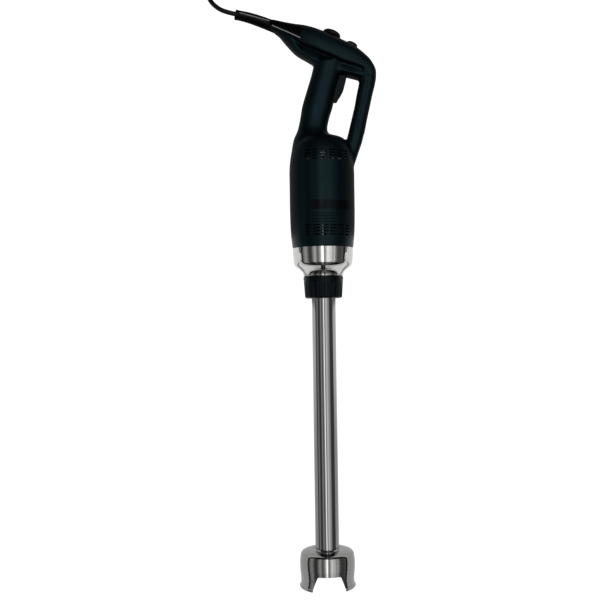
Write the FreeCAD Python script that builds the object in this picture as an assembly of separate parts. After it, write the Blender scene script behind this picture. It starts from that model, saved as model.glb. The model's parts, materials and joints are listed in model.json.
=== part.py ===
import FreeCAD, Part
import math
import os
from FreeCAD import Placement, Rotation, Vector

# A hand-held commercial immersion blender, lying on its side on a table.
# Every piece is drawn upright in the tool frame: the drive axis is Z, the blade guard's lip is at
# z = 0, the D handle is on the +X side and the front of the machine is the -Y side. lay_down()
# then turns each piece onto its side. All lengths are millimetres and all angles degrees.

# ---- driving dimensions -------------------------------------------------------------------------
WALL = 3.0                      # moulded wall of the housing
RUNNING = 0.05                  # radial clearance of a shaft in its bush or bearing
GAP = 0.3                       # clearance round a part that moves in a hole

BARREL_RADIUS = 49.5            # widest part of the motor barrel
BARREL_LOW, BARREL_HIGH = 575.0, 632.0
HOUSING_FOOT = 517.0            # joint between the moulded housing and the metal nose
HOUSING_FOOT_RADIUS = 46.3

NOSE_LOW = 477.0
BOLT_CIRCLE = 40.9              # radius of the circle of the long motor bolts
SPIGOT_RADIUS, SPIGOT_LOW = 24.0, 455.0
COLLAR_LOW, COLLAR_HIGH = 441.0, 474.3
COLLAR_TOP_RADIUS, COLLAR_FOOT_RADIUS = 30.4, 28.5

TUBE_RADIUS, TUBE_BORE = 18.2, 16.2
TUBE_LOW, TUBE_HIGH = 52.0, 454.6
TUBE_GROOVE = 326.5             # height of the ring mark over the middle bush
SHAFT_RADIUS = 6.0
HEX_ACROSS = 9.0                # flats of the drive hexagon

GUARD_RADIUS = 42.2             # widest ring of the blade guard
GUARD_RING_LOW, GUARD_ARCH_TOP, GUARD_TURN = 31.0, 24.0, 3.5
BLADE_RADIUS, BLADE_LOW, BLADE_THICK = 29.0, 25.0, 2.4

HEAD_SLOPE = 24.4               # fall of the top cover towards the D handle
DIAL_X, DIAL_Z, DIAL_RADIUS, DIAL_HEIGHT, DIAL_LEAN = 17.5, 840.6, 14.0, 7.2, 20.0
BUTTON_X, BUTTON_Z, BUTTON_RADIUS, BUTTON_HEIGHT = 48.6, 825.9, 8.6, 3.4
TRIGGER_PIVOT = (15.0, 745.0)
TRIGGER_HALF_DEPTH = 8.0

BOOT_TIP = (-128.0, 875.2)
CORD_DIAMETER = 7.0
COIL_INNER, COIL_OUTER, COIL_HEIGHT = 31.0, 46.0, 28.0
PIN_RADIUS, PIN_LENGTH, PIN_SPACING = 2.4, 19.0, 19.0

# The tool rests on the barrel and on the blade guard, so its axis leans by a fraction of a degree.
REST_LOW, REST_HIGH = GUARD_RING_LOW, BARREL_LOW
LEAN = math.degrees(math.atan((BARREL_RADIUS - GUARD_RADIUS) / (REST_HIGH - REST_LOW)))
AXIS_LIFT = (GUARD_RADIUS * math.cos(math.radians(LEAN))
             - REST_LOW * math.sin(math.radians(LEAN)))
ORIGIN_X, ORIGIN_Y = 22.37, 440.9   # puts the middle of the tool's plan over the origin

# Cord route on the table, from the boot's tip to the coil, in the laid-down frame.
COIL_CENTRE = (-110.0, 531.0)
CORD_ROUTE = [(-105.6, 434.2, 53.5), (-121.2, 437.7, 53.3), (-134.8, 446.0, 50.6),
              (-144.6, 458.0, 44.6), (-149.9, 471.5, 35.5), (-152.0, 484.6, 25.0),
              (-152.6, 498.0, 15.0), (-152.2, 512.5, 7.0), (-151.8, 531.0, 3.5)]
LEAD_ROUTE = [(-89.0, 567.4, 24.4), (-67.4, 554.5, 24.0), (-45.4, 545.3, 22.0),
              (-22.4, 541.3, 19.8), (-3.4, 541.0, 19.0)]

# ---- outlines of the moulded body ---------------------------------------------------------------
# Each head station: outer point (x, z), inner point (x, z), half depth.
HEAD = [((-71.9, 866.9), (-77.7, 850.9), 8.9), ((-53.5, 862.6), (-63.5, 841.0), 14.0),
        ((-38.0, 859.4), (-51.0, 826.5), 19.0), ((-22.0, 856.6), (-37.0, 812.0), 23.0),
        ((-5.0, 850.6), (-21.0, 802.5), 26.0), ((15.0, 841.6), (-2.0, 791.0), 27.0),
        ((33.0, 833.3), (16.0, 784.0), 26.0), ((50.0, 825.0), (34.0, 779.0), 23.5),
        ((64.0, 815.8), (50.0, 774.5), 20.0), ((76.5, 804.0), (66.0, 770.0), 16.5),
        ((84.3, 789.0), (79.0, 770.0), 14.5)]
# Each level of the D bar and of the grip: height, left x, right x, half depth.
BAR = [(640, 22, 47, 13), (660, 31, 53, 13), (682, 38.5, 61.5, 13), (713, 46.5, 70, 13),
       (731, 51, 74.2, 13), (749, 54.5, 78.3, 13), (768, 58.6, 83.2, 13), (780, 60, 84.8, 13),
       (789, 61.5, 84.3, 13)]
GRIP = [(655, -46, 40, 41), (664, -45.6, 34, 38), (674, -44.2, 26, 33), (684, -41.6, 17, 28),
        (696, -36.2, 9.5, 22.5), (713, -32, 12, 20.5), (732, -28.6, 18, 20.5),
        (757, -21, 23.8, 20), (781, -13.4, 31.5, 20), (806, -8, 36, 20)]
# Centre line of the cord boot: x, z, radius.
BOOT = [(-128, 875.2, 7.3), (-108.4, 870.8, 7.9), (-91.5, 865.3, 8.4), (-74.8, 858.9, 8.8),
        (-58, 852.5, 9.2), (-42, 846.5, 9.4)]
COVER_EDGE = [(-27.5, 824), (21, 802.7), (34.5, 796.5), (47.5, 794), (61, 789.5), (69.5, 783.5),
              (71.5, 775), (69.5, 760), (63.5, 737), (55, 703), (54, 693), (75, 688), (120, 688),
              (120, 900), (-27.5, 900)]
BOOT_ROOT_EDGE = [(-90, 864.5), (-27.5, 831.5), (-27.5, 900), (-90, 900)]
SCREW_PLACES = [(-33.0, 690.0), (-42.0, 828.0), (63.5, 779.0), (49.5, 688.0), (-16.0, 735.0)]
SCREW_END = -9.0                # how far the screws reach into the front half


# ---- helpers ------------------------------------------------------------------------------------
def closed_wire(points):
    """Closed wire in the XZ plane. A point with a third item is the middle of an arc."""
    ring = list(points) + [points[0]]
    edges, index = [], 0
    while index < len(points):
        start, after = ring[index], ring[index + 1]
        if len(after) == 3:
            ends = [Vector(p[0], 0, p[1]) for p in (start, after, ring[index + 2])]
            edges.append(Part.Arc(*ends).toShape())
            index += 2
        else:
            edges.append(Part.LineSegment(Vector(start[0], 0, start[1]),
                                          Vector(after[0], 0, after[1])).toShape())
            index += 1
    return Part.Wire(edges)


def lathe(points):
    """Solid of revolution about the drive axis from (radius, height) points."""
    return Part.Face(closed_wire(points)).revolve(Vector(), Vector(0, 0, 1), 360)


def slab(points, half_depth):
    """Outline in the XZ plane, extruded to half_depth each side of it."""
    face = Part.Face(closed_wire(points))
    face.translate(Vector(0, -half_depth, 0))
    return face.extrude(Vector(0, 2 * half_depth, 0))


def ring(outer, inner, low, high):
    return lathe([(inner, low), (outer, low), (outer, high), (inner, high)])


def disc(radius, low, high):
    return Part.makeCylinder(radius, high - low, Vector(0, 0, low))


def hexagon(across, low, high):
    corner = across / math.sqrt(3)
    corners = [Vector(corner * math.cos(math.radians(60 * k)), corner * math.sin(math.radians(60 * k)), low)
               for k in range(7)]
    return Part.Face(Part.makePolygon(corners)).extrude(Vector(0, 0, high - low))


def sector(outer, inner, low, high, start, end):
    """Piece of a ring between two angles, measured from the front of the machine towards +X."""
    turn = Placement(Vector(), Rotation(Vector(0, 0, 1), start - 90))
    whole = Part.makeCylinder(outer, high - low, Vector(0, 0, low), Vector(0, 0, 1), end - start)
    core = Part.makeCylinder(inner, high - low, Vector(0, 0, low), Vector(0, 0, 1), end - start)
    piece = whole.cut(core)
    piece.Placement = turn
    return piece


def around(shape, count, first=0.0):
    """Copies of a shape, evenly spaced round the drive axis."""
    copies = []
    for k in range(count):
        copy = shape.copy()
        copy.rotate(Vector(), Vector(0, 0, 1), first + 360.0 * k / count)
        copies.append(copy)
    return copies


def oval(outer, inner, half_depth, inset, squareness):
    """Closed smooth section between two points of the XZ plane, flattened at its sides."""
    top, bottom = Vector(outer[0], 0, outer[1]), Vector(inner[0], 0, inner[1])
    across = top - bottom
    half = across.Length / 2 - inset
    across.normalize()
    count, points = 12, []
    for k in range(count):
        angle = 2 * math.pi * (k + 0.5) / count
        c, s = math.cos(angle), math.sin(angle)
        a = half * math.copysign(abs(c) ** (2 / squareness), c)
        b = (half_depth - inset) * math.copysign(abs(s) ** (2 / squareness), s)
        points.append((top + bottom) * 0.5 + across * a + Vector(0, b, 0))
    curve = Part.BSplineCurve()
    curve.interpolate(points, PeriodicFlag=True)
    return Part.Wire([curve.toShape()])


def on_slope(shape, x, z, lean):
    """Moves a piece drawn round Z at the origin to a point of the head, leaning towards +X."""
    placed = shape.copy()
    placed.rotate(Vector(), Vector(0, 1, 0), lean)
    placed.translate(Vector(x, 0, z))
    return placed


def spring(radius, wire, low, high, turns):
    """Coil spring drawn as its separate turns, joined by a thin inner sleeve."""
    pitch = (high - low - wire) / (turns - 1)
    coils = [Part.makeTorus(radius, wire / 2, Vector(0, 0, low + wire / 2 + pitch * k))
             for k in range(turns)]
    sleeve = ring(radius + wire * 0.2, radius - wire * 0.2, low + wire / 2, high - wire / 2)
    return sleeve.fuse(coils)


def lay_down(shape):
    """Turns a piece from the upright tool frame onto its side on the table."""
    placed = shape.copy()
    placed.Placement = Placement(Vector(ORIGIN_X, -ORIGIN_Y, AXIS_LIFT),
                                 Rotation(Vector(1, 0, 0), LEAN - 90)).multiply(placed.Placement)
    return placed


# ---- moulded body -------------------------------------------------------------------------------
def barrel(inset):
    foot, wide = HOUSING_FOOT_RADIUS - inset, BARREL_RADIUS - inset
    return lathe([(0, HOUSING_FOOT - inset), (foot, HOUSING_FOOT - inset), (48.7 - inset, 546, 1),
                  (wide, BARREL_LOW), (wide, BARREL_HIGH), (48.0 - inset, 652.5, 1),
                  (43.5 - inset, 673 - inset * 0.3), (38.5 - inset, 681 - inset * 0.7, 1),
                  (31 - inset, 686.5 - inset), (18 - inset * 0.5, 691 - inset, 1), (0, 693 - inset)])


def head(inset):
    return Part.makeLoft([oval(outer, inner, depth, inset, 2.5) for outer, inner, depth in HEAD],
                         True, False)


def column(levels, inset, squareness):
    """Upright loft through level sections, for the grip and the D bar."""
    return Part.makeLoft([oval((right, z), (left, z), depth, inset, squareness)
                          for z, left, right, depth in levels], True, False)


def body_solid(inset):
    parts = [column(GRIP, inset, 2.3), head(inset), column(BAR, inset, 2.5)]
    body = barrel(inset)
    for part in parts:
        body = body.fuse(part)
    return body


def vent_rows(lowest, pitch, count, first_angle, last_angle):
    """Long slots through the barrel wall, front and rear."""
    rows = []
    for k in range(count):
        z = lowest + pitch * k
        for start, end in ((first_angle, last_angle), (180 - last_angle, 180 - first_angle)):
            rows.append(sector(BARREL_RADIUS + 1, BARREL_RADIUS - WALL - 3, z - 1.2, z + 1.2, start, end))
    return rows


def vent_ribs(low, high, radius, first_angle, last_angle, count):
    """Upright ribs that divide the vent slots."""
    ribs = []
    step = (last_angle - first_angle) / count
    for k in range(1, count):
        angle = first_angle + step * k
        for middle in (angle, 180 - angle):
            ribs.append(sector(radius - 0.5, radius - WALL, low, high, middle - 1.3, middle + 1.3))
    return ribs


def screw_boss(x, z, body):
    """Pillar inside the housing that takes one screw."""
    pillar = Part.makeCylinder(4.4, 80, Vector(x, -40, z), Vector(0, 1, 0))
    return pillar.common(body)


def screw(x, z, surface):
    """Pan-head screw driven from the rear, with its head sunk under the surface at y = surface."""
    head_top = surface - 1.0
    stem = Part.makeCylinder(1.6, head_top - SCREW_END, Vector(x, SCREW_END, z), Vector(0, 1, 0))
    pan = Part.makeCylinder(3.2, 2.4, Vector(x, head_top - 2.4, z), Vector(0, 1, 0))
    cross = Part.makeBox(4.0, 1.2, 0.9, Vector(x - 2.0, head_top - 1.2, z - 0.45))
    cross = cross.fuse(Part.makeBox(0.9, 1.2, 4.0, Vector(x - 0.45, head_top - 1.2, z - 2.0)))
    return stem.fuse(pan).cut(cross)


def screw_hole(x, z, surface):
    head_top = surface - 1.0
    stem = Part.makeCylinder(1.6, head_top - SCREW_END, Vector(x, SCREW_END, z), Vector(0, 1, 0))
    sink = Part.makeCylinder(3.4, 60, Vector(x, head_top - 2.4, z), Vector(0, 1, 0))
    return stem.fuse(sink)


def rear_surface(body, x, z):
    """Depth of the housing's rear surface above a point of the middle plane."""
    probe = Part.makeLine(Vector(x, 0, z), Vector(x, 80, z)).common(body)
    return probe.BoundBox.YMax


def trigger_window():
    """Space in the housing that the trigger fills and swings into."""
    return slab([(9, 738.5), (30, 738.5), (41, 775), (40.5, 780.3), (34, 783), (9, 783)],
                TRIGGER_HALF_DEPTH + GAP)


def pivot_cylinder(radius, half_length):
    x, z = TRIGGER_PIVOT
    return Part.makeCylinder(radius, 2 * half_length, Vector(x, -half_length, z), Vector(0, 1, 0))


def moulded_body(nodes):
    body = body_solid(0.0)
    shell = body.cut(body_solid(WALL))
    surfaces = [rear_surface(body, x, z) for x, z in SCREW_PLACES]
    ears = pivot_cylinder(3.8, 19).common(body)
    shell = shell.fuse([screw_boss(x, z, body) for x, z in SCREW_PLACES] + [ears])

    boot = head(0.0).common(slab(BOOT_ROOT_EDGE, 60)).fuse(boot_sleeve())
    grooves = [sector(BARREL_RADIUS + 1, BARREL_RADIUS - 1, z - 0.7, z + 0.7, -22, 26)
               for z in (553, 557, 561, 565)]
    shell = shell.cut(vent_rows(534.5, 4.5, 4, -34, 57) + vent_rows(646.2, 4.33, 4, -34, 57) + grooves)
    shell = shell.cut([screw_hole(x, z, y) for (x, z), y in zip(SCREW_PLACES, surfaces)])
    shell = shell.cut([trigger_window(), pivot_cylinder(1.5, 12), boot])
    dial_seat = disc(4.2, -20, 1).fuse(disc(DIAL_RADIUS + 2 * GAP, 0, 20))
    shell = shell.cut([on_slope(dial_seat, DIAL_X, DIAL_Z, DIAL_LEAN),
                       on_slope(disc(BUTTON_RADIUS + GAP, -20, 20), BUTTON_X, BUTTON_Z, HEAD_SLOPE)])
    shell = shell.fuse(vent_ribs(532, 550.5, 47.8, -34, 57, 6) + vent_ribs(643.8, 661, 46.8, -34, 57, 6))

    cover_zone = slab(COVER_EDGE, 60)
    front_zone = Part.makeBox(400, 100, 1000, Vector(-200, -100, 0))
    lower = shell.cut(cover_zone)
    nodes["cord_boot"] = boot
    nodes["head_cover"] = shell.common(cover_zone)
    nodes["housing_front_shell"] = lower.common(front_zone)
    nodes["housing_rear_shell"] = lower.cut(front_zone)
    nodes["housing_screws"] = Part.makeCompound([screw(x, z, y) for (x, z), y
                                                 in zip(SCREW_PLACES, surfaces)])
    nodes["label_plate"] = sector(BARREL_RADIUS + 0.5, BARREL_RADIUS, 571.5, 585.0, -19, 54)


def boot_sleeve():
    wires = []
    for k, (x, z, radius) in enumerate(BOOT):
        before, after = BOOT[max(k - 1, 0)], BOOT[min(k + 1, len(BOOT) - 1)]
        along = Vector(after[0] - before[0], 0, after[1] - before[1])
        wires.append(Part.Wire([Part.Circle(Vector(x, 0, z), along, radius).toShape()]))
    return Part.makeLoft(wires, True, False)


# ---- controls on the head -----------------------------------------------------------------------
def trigger_lever():
    """Paddle inside the loop, hinged on a pin at its lower end."""
    outline = [(11.6, 744.0), (14.0, 740.6, 1), (18.0, 739.8), (23.0, 739.6), (25.4, 741.6, 1),
               (26.4, 743.6), (30.8, 750.0), (34.2, 756.6), (37.4, 767.5, 1), (39.6, 776.4),
               (38.8, 778.2, 1), (37.2, 779.0), (24.5, 779.0), (21.6, 765.0), (12.4, 749.4)]
    lever = slab(outline, TRIGGER_HALF_DEPTH)
    finger_edges = [e for e in lever.Edges
                    if abs(abs(e.CenterOfMass.y) - TRIGGER_HALF_DEPTH) < 0.01 and e.CenterOfMass.x > 27]
    return lever.makeFillet(2.0, finger_edges).cut(pivot_cylinder(1.5 + RUNNING, 15))


def trigger_pin():
    return pivot_cylinder(1.5, 12)


def dial_knob():
    """Domed speed knob with finger notches round its skirt."""
    top, side = DIAL_HEIGHT, DIAL_RADIUS
    knob = lathe([(0, 0.3), (side, 0.3), (side, 1.6), (side - 1.2, 4.4, 1), (side - 4.2, 6.3),
                  (side / 2 - 1, top - 0.4, 1), (2.0, top), (0, top)])
    notch = Part.makeCylinder(1.1, 6, Vector(side + 0.5, 0, -0.5))
    knob = knob.cut(around(notch, 18))
    knob = knob.cut(Part.makeBox(6.5, 1.2, 2.0, Vector(4.0, -0.6, top - 1.6)))
    return on_slope(knob, DIAL_X, DIAL_Z, DIAL_LEAN)


def dial_shaft():
    return on_slope(disc(3.0, -11.0, 0.3), DIAL_X, DIAL_Z, DIAL_LEAN)


def potentiometer():
    can = ring(8.0, 3.0 + RUNNING, -13.5, -6.5).fuse(disc(8.0, -13.5, -11.4))
    legs = [Part.makeBox(1.0, 0.6, 5.0, Vector(k * 4.0 - 0.5, 7.0, -18.0)) for k in (-1, 0, 1)]
    return on_slope(can.fuse(legs), DIAL_X, DIAL_Z, DIAL_LEAN)


def lock_button():
    cap = lathe([(0, -4.5), (BUTTON_RADIUS, -4.5), (BUTTON_RADIUS, 1.2), (BUTTON_RADIUS - 1.6, 2.8, 1),
                 (BUTTON_RADIUS - 4.2, BUTTON_HEIGHT), (0, BUTTON_HEIGHT)])
    stem = disc(2.4, -15.0, -4.5)
    return on_slope(cap.fuse(stem), BUTTON_X, BUTTON_Z, HEAD_SLOPE)


def lock_bracket():
    plate = Part.makeBox(26, 24, 1.6, Vector(-13, -12, -12.6)).cut(disc(2.4 + RUNNING, -14, -10))
    return on_slope(plate, BUTTON_X, BUTTON_Z, HEAD_SLOPE)


def lock_spring():
    return on_slope(spring(4.4, 0.8, -11.0, -4.5, 4), BUTTON_X, BUTTON_Z, HEAD_SLOPE)


def switch_body():
    case = Part.makeBox(16.0, 10.4, 28.0, Vector(-5.5, -5.2, 751.0))
    return case.cut(Part.makeBox(8.0, 3.0, 4.4, Vector(3.0, -1.5, 763.0)))


def switch_plunger():
    return Part.makeBox(12.6, 2.8, 4.2, Vector(7.4, -1.4, 763.1))


def trigger_spring():
    coil = spring(2.4, 0.6, 0.0, 12.2, 7)
    coil.rotate(Vector(), Vector(0, 1, 0), 90)
    coil.translate(Vector(10.5, 0, 773.0))
    return coil


def speed_board():
    board = Part.makeBox(36, 28, 1.6, Vector(-14, -14, -31.0))
    parts = [Part.makeBox(8, 8, 9, Vector(-13, -12, -29.4)), Part.makeBox(8, 5, 10, Vector(-12.5, 5, -29.4)),
             Part.makeCylinder(4.0, 9, Vector(15, -8, -29.4)), Part.makeBox(10, 6, 3, Vector(-2, -6, -29.4))]
    return on_slope(board.fuse(parts), -4.0, 848.0, HEAD_SLOPE)


def cord_clamp():
    """Bar that grips the cord inside the head."""
    bar = Part.makeBox(9, 26, 3.4, Vector(-4.5, -13, -18.0)).cut(clamp_screw_stems(-30, 0))
    return on_slope(bar, -6.0, 849.0, HEAD_SLOPE)


def clamp_screw_stems(low, high):
    return Part.makeCompound([Part.makeCylinder(1.5, high - low, Vector(0, y, low)) for y in (-9.5, 9.5)])


def clamp_screws():
    heads = [Part.makeCylinder(2.8, 2.0, Vector(0, y, -14.6)) for y in (-9.5, 9.5)]
    stems = clamp_screw_stems(-27.0, -14.6).Solids
    return on_slope(Part.makeCompound([stem.fuse(top) for stem, top in zip(stems, heads)]),
                    -6.0, 849.0, HEAD_SLOPE)


# ---- motor --------------------------------------------------------------------------------------
def nose():
    """Polished cast nose: it closes the barrel, seats the lower bearing and carries the spigot."""
    return lathe([(14.6, SPIGOT_LOW), (SPIGOT_RADIUS, SPIGOT_LOW), (SPIGOT_RADIUS, NOSE_LOW),
                  (30.6, NOSE_LOW), (32.2, 480.6, 1), (36.0, 484.2), (41.0, 488.0), (44.0, 491.6, 1),
                  (45.2, 497.5), (46.2, 508.0), (HOUSING_FOOT_RADIUS, HOUSING_FOOT),
                  (43.0, HOUSING_FOOT), (42.4, 500.0), (38.0, 494.0), (17.0, 494.0), (17.0, 501.5),
                  (13.0, 501.5), (13.0, 491.5), (14.6, 491.5)]).cut(bolt_stems(492.0, 510.0))


def seal_ring():
    return lathe([(SPIGOT_RADIUS, NOSE_LOW - 2.3), (29.4, NOSE_LOW - 2.3), (30.4, NOSE_LOW - 1.15, 1),
                  (29.4, NOSE_LOW), (SPIGOT_RADIUS, NOSE_LOW)])


def motor_coupling():
    """Driving half of the coupling, with a hexagonal socket."""
    body = lathe([(0, 463.5), (10.5, 463.5), (11.5, 464.5), (11.5, 487.0), (9.0, 489.0), (0, 489.0)])
    return body.cut(hexagon(HEX_ACROSS + 0.4, 463.0, 476.0)).cut(disc(5.0, 476.0, 490.0))


def field_coils():
    """Four field windings, two at each end of the stator stack."""
    coils = []
    for low, high in ((566.0, 575.0), (621.0, 630.0)):
        for start in (20, 200):
            coils.append(sector(37.0, 26.5, low, high, start, start + 140))
    return Part.makeCompound(coils)


def stator_core():
    core = ring(39.0, 24.0, 575.0, 621.0)
    flats = [Part.makeBox(20, 100, 60, Vector(x, -50, 570)) for x in (36.5, -56.5)]
    return core.cut(flats)


def armature_core():
    slot = Part.makeBox(4.0, 1.4, 60, Vector(19.6, -0.7, 570))
    return ring(23.4, 5.0, 573.0, 623.0).cut(around(slot, 12))


def armature_windings():
    ends = [lathe([(8.0, 562.0), (17.0, 562.0), (20.0, 567.0, 1), (18.5, 573.0), (8.0, 573.0)]),
            lathe([(8.0, 623.0), (18.5, 623.0), (20.0, 629.0, 1), (15.5, 633.5), (8.0, 633.5)])]
    return Part.makeCompound(ends)


def commutator():
    slot = Part.makeBox(2.0, 0.5, 30, Vector(12.2, -0.25, 630))
    return ring(13.2, 5.0, 635.0, 650.0).cut(around(slot, 24))


def insulating_sleeves():
    return Part.makeCompound([ring(8.0, 5.0, 560.0, 573.0), ring(8.0, 5.0, 623.0, 635.0)])


def cooling_fan():
    hub = ring(11.0, 5.0, 533.0, 549.0)
    plate = ring(38.0, 10.0, 547.2, 549.0)
    blade = Part.makeBox(27.0, 1.6, 12.4, Vector(10.5, -0.8, 535.0))
    return hub.fuse([plate] + around(blade, 9))


def motor_shaft():
    return disc(5.0, 476.2, 667.5)


def ball_bearing(bore, outer, low, high):
    """Deep-groove bearing drawn as its two races with the shielded gap between them."""
    middle = (bore + outer) / 2
    return lathe([(bore, low), (outer, low), (outer, high), (bore, high), (bore, high - 0.6),
                  (middle, high - 1.0), (middle, low + 1.0), (bore, low + 0.6)])


def bolt_stems(low, high):
    """The straight stems of the four long bolts that hold the motor to the nose."""
    return around(Part.makeCylinder(1.5, high - low, Vector(BOLT_CIRCLE, 0, low)), 4)


def bearing_bracket():
    """Cast spider that seats the upper bearing and spans the barrel."""
    hub = ring(15.0, 11.0, 651.0, 668.0).fuse(disc(15.0, 667.6, 670.5))
    arm = Part.makeBox(29.2, 9.0, 5.0, Vector(14.0, -4.5, 651.0))
    return hub.fuse(around(arm, 4)).cut(bolt_stems(650.0, 656.0))


def motor_bolts():
    pan = around(Part.makeCylinder(2.3, 2.2, Vector(BOLT_CIRCLE, 0, 656.0)), 4)
    return Part.makeCompound([stem.fuse(top) for stem, top in zip(bolt_stems(492.0, 656.0), pan)])


def stator_pads():
    """Four rubber pads that hold the stator stack in the barrel."""
    return Part.makeCompound([sector(BARREL_RADIUS - WALL, 39.0, 580.0, 616.0, start, start + 24)
                              for start in (33, 123, 213, 303)])


def brush_holders():
    holder = Part.makeBox(20.0, 9.0, 12.4, Vector(15.2, -4.5, 638.0)).cut(
        Part.makeBox(19.0, 6.2, 7.2, Vector(14.5, -3.1, 639.4)))
    return Part.makeCompound(around(holder, 2))


def carbon_brushes():
    return Part.makeCompound(around(Part.makeBox(13.0, 6.0, 7.0, Vector(13.4, -3.0, 639.5)), 2))


def brush_springs():
    coil = spring(1.9, 0.5, 0.0, 6.0, 5)
    coil.rotate(Vector(), Vector(0, 1, 0), 90)
    coil.translate(Vector(26.6, 0, 643.0))
    return Part.makeCompound(around(coil, 2))


# ---- detachable shaft ---------------------------------------------------------------------------
def locking_collar():
    """Screw collar that draws the shaft's flange against the nose spigot."""
    body = lathe([(TUBE_RADIUS + 0.5, COLLAR_LOW), (24.5, COLLAR_LOW), (27.6, COLLAR_LOW + 0.9, 1),
                  (COLLAR_FOOT_RADIUS, COLLAR_LOW + 4.0), (COLLAR_TOP_RADIUS - 0.2, COLLAR_HIGH - 5.0),
                  (COLLAR_TOP_RADIUS, COLLAR_HIGH - 4.0), (COLLAR_TOP_RADIUS, COLLAR_HIGH - 0.8),
                  (COLLAR_TOP_RADIUS - 0.8, COLLAR_HIGH), (SPIGOT_RADIUS + 0.4, COLLAR_HIGH),
                  (SPIGOT_RADIUS + 0.4, 447.6), (TUBE_RADIUS + 0.5, 447.6)])
    flute = Part.makeCylinder(3.2, 27, Vector(COLLAR_FOOT_RADIUS + 2.1, 0, COLLAR_LOW - 3.0),
                              Vector(1.7, 0, 24.3))
    return body.cut(around(flute, 24))


def tube_flange():
    return ring(23.4, TUBE_RADIUS, 448.2, TUBE_HIGH)


def shaft_tube():
    tube = ring(TUBE_RADIUS, TUBE_BORE, TUBE_LOW, TUBE_HIGH)
    return tube.cut(ring(TUBE_RADIUS + 1, TUBE_RADIUS - 0.35, TUBE_GROOVE - 0.5, TUBE_GROOVE + 0.5))


def bush(low, high):
    return ring(TUBE_BORE, SHAFT_RADIUS + RUNNING, low, high)


def drive_shaft():
    """Long shaft with a hexagon at the top and a shoulder and thread at the blade."""
    rod = disc(SHAFT_RADIUS, BLADE_LOW + BLADE_THICK, 456.0)
    return rod.fuse([hexagon(HEX_ACROSS, 456.0, 474.5), disc(3.8, 21.0, BLADE_LOW + BLADE_THICK)])


def cutting_blade():
    """Cross blade with ground edges; two of its wings are bent towards the motor."""
    hub = ring(8.0, 3.8, BLADE_LOW, BLADE_LOW + BLADE_THICK)
    section = [(-5.2, 0.0), (5.6, 0.0), (2.6, BLADE_THICK), (-5.2, BLADE_THICK)]
    wings = []
    for turn, bend in ((45, 0), (135, 14), (225, 0), (315, 14)):
        wire = Part.makePolygon([Vector(0, y, z) for y, z in section + section[:1]])
        wing = Part.Face(wire).extrude(Vector(BLADE_RADIUS - 6.2, 0, 0))
        tip = Part.makeBox(12, 20, 20, Vector(0, -20, -8))
        tip.rotate(Vector(), Vector(0, 0, 1), 24)
        tip.translate(Vector(BLADE_RADIUS - 7.5, 1.0, 0))
        wing = wing.cut(tip)
        wing.rotate(Vector(), Vector(0, 1, 0), -bend)
        wing.translate(Vector(6.2, 0, BLADE_LOW))
        wing.rotate(Vector(), Vector(0, 0, 1), turn)
        wings.append(wing)
    return hub.fuse(wings).cut(disc(3.8, 20, 40))


def blade_nut():
    chamfer = lathe([(0, 19.6), (6.4, 19.6), (7.6, 21.0), (7.6, 25.0), (0, 25.0)])
    nut = hexagon(13.0, 19.6, BLADE_LOW).common(chamfer)
    return nut.cut(disc(3.8, 21.0, 26.0))


def blade_guard():
    """Bell round the blade: pressed dome, bright skirt and two wide legs between the arches."""
    bell = lathe([(39.6, 0.4), (41.4, 0.0), (43.0, 1.9, 1), (41.6, 4.4), (40.9, 7.5), (40.8, 14.0),
                  (41.6, 23.0, 1), (GUARD_RADIUS, GUARD_RING_LOW), (GUARD_RADIUS, 40.0), (41.0, 49.2),
                  (39.6, 52.6, 1), (36.0, 54.8), (29.0, 56.4, 1), (TUBE_RADIUS + 1.4, 56.6),
                  (TUBE_RADIUS, 58.0), (TUBE_RADIUS, 52.0), (11.4, 52.0), (11.4, 38.0),
                  (SHAFT_RADIUS + 0.4, 38.0), (SHAFT_RADIUS + 0.4, 34.0), (12.0, 34.0), (14.2, 38.0),
                  (14.2, 50.0), (30.0, 52.4), (36.4, 50.8, 1), (38.8, 47.0), (39.9, 39.5), (39.9, 27.0),
                  (38.1, 20.5), (38.1, 6.0)])
    side = [(26.5, -4.0), (24.8, 3.0), (21.4, 13.0), (18.6, 20.0), (17.2, 23.0, 1), (14.0, GUARD_ARCH_TOP)]
    arch = slab(side + [(-p[0], *p[1:]) for p in reversed(side)], 60)
    arch.rotate(Vector(), Vector(0, 0, 1), GUARD_TURN)
    return bell.cut(arch)


def shaft_seal():
    return lathe([(SHAFT_RADIUS + RUNNING, 39.0), (9.0, 38.0), (11.4, 38.0), (11.4, 45.0),
                  (9.0, 45.0), (8.6, 40.4), (SHAFT_RADIUS + RUNNING, 40.4)])


# ---- cord, coil and plug ------------------------------------------------------------------------
def cord_tube(route, name):
    """Tube of straight runs joined by tangent arcs, each as large as its two runs allow."""
    points = [Vector(*p) for p in route]
    start, length, radii, edges = points[0], 0.0, [], []
    for before, corner, after in zip(points, points[1:], points[2:]):
        into, out = corner - before, after - corner
        shorter = min(into.Length, out.Length)
        into.normalize()
        out.normalize()
        half_turn = into.getAngle(out) / 2
        radius = 0.45 * shorter / math.tan(half_turn)
        radii.append(round(radius, 1))
        reach = 0.45 * shorter
        first, last = corner - into * reach, corner + out * reach
        towards = out - into
        towards.normalize()
        middle = corner + towards * (radius / math.cos(half_turn) - radius)
        edges.append(Part.LineSegment(start, first).toShape())
        edges.append(Part.Arc(first, middle, last).toShape())
        start = last
    edges.append(Part.LineSegment(start, points[-1]).toShape())
    path = Part.Wire(edges)
    length = sum(edge.Length for edge in edges)
    section = Part.Wire([Part.Circle(points[0], points[1] - points[0], CORD_DIAMETER / 2).toShape()])
    tube = path.makePipeShell([section], True, False)
    expected = math.pi * CORD_DIAMETER ** 2 / 4 * length
    print(name, "radii", radii, "length", round(length, 1), "volume ratio", round(tube.Volume / expected, 4))
    return tube


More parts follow.
